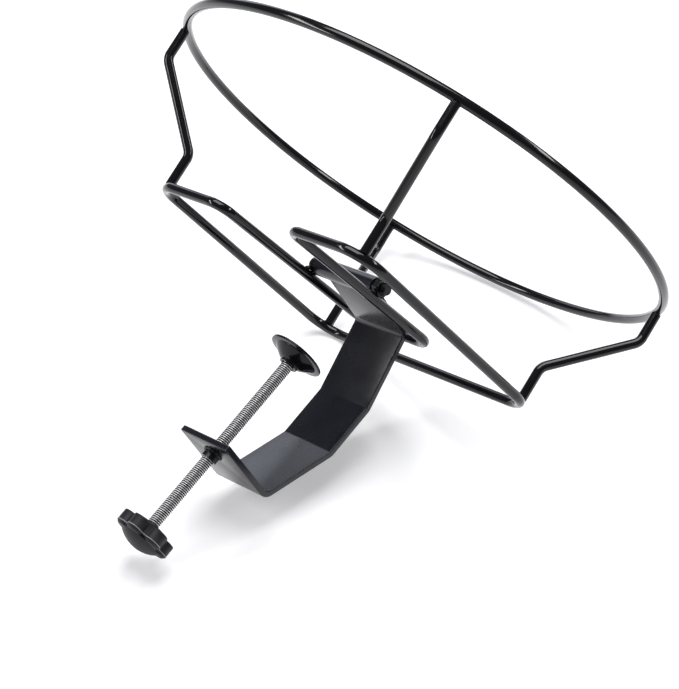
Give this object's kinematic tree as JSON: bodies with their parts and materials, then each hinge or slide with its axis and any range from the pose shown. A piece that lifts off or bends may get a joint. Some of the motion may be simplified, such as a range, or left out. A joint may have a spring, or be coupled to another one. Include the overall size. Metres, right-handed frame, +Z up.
{
  "type": "clamp-on wire bowl holder",
  "caption": "Clamp-on holder: a welded wire ring basket for a bowl, pot or large cup, hinged on a flat-bar clamp with a screw, swivel pad and star knob.",
  "frame": {"origin": "point where the screw's axis meets the bearing face of the upper jaw", "axes": "+Z up along the screw towards the basket, +X from the screw towards the clamp's spine, +Y along the hinge bolt towards its head"},
  "size_m": [0.26, 0.2648, 0.2513],
  "materials": {
    "black_coat": "gloss",
    "bright_steel": "bright zinc",
    "black_plastic": "satin"
  },
  "bodies": {
    "clamp": {"clamp_bracket": "black_coat", "hinge_tube": "black_coat", "thread_bush": "black_coat"},
    "basket": {"base_wire": "black_coat", "top_ring": "black_coat", "leg_left_desk": "black_coat", "leg_right_desk": "black_coat", "leg_right_spine": "black_coat", "leg_left_spine": "black_coat", "hinge_bolt": "black_coat", "hinge_nut": "black_coat"},
    "pad": {"swivel_pad": "black_coat"},
    "screw": {"clamp_screw": "bright_steel", "star_knob": "black_plastic", "knob_insert": "bright_steel"}
  },
  "joints": [
    {"name": "basket_tilt", "type": "hinge", "parent": "clamp", "child": "basket", "pos_m": [-0.007, 0, 0.0015], "axis": [0, 1, 0], "range_deg": [-90, 23]},
    {"name": "pad_travel", "type": "slide", "parent": "clamp", "child": "pad", "axis": [0, 0, 1], "range_m": [-0.051, 0.038]},
    {"name": "screw_turn", "type": "hinge", "parent": "pad", "child": "screw", "pos_m": [0, 0, -0.1], "axis": [0, 0, 1], "range_deg": [-18362, 13682]}
  ],
  "couplings": [
    {"joint": "screw_turn", "follows": "pad_travel", "rad_per_m": 6283.2}
  ]
}
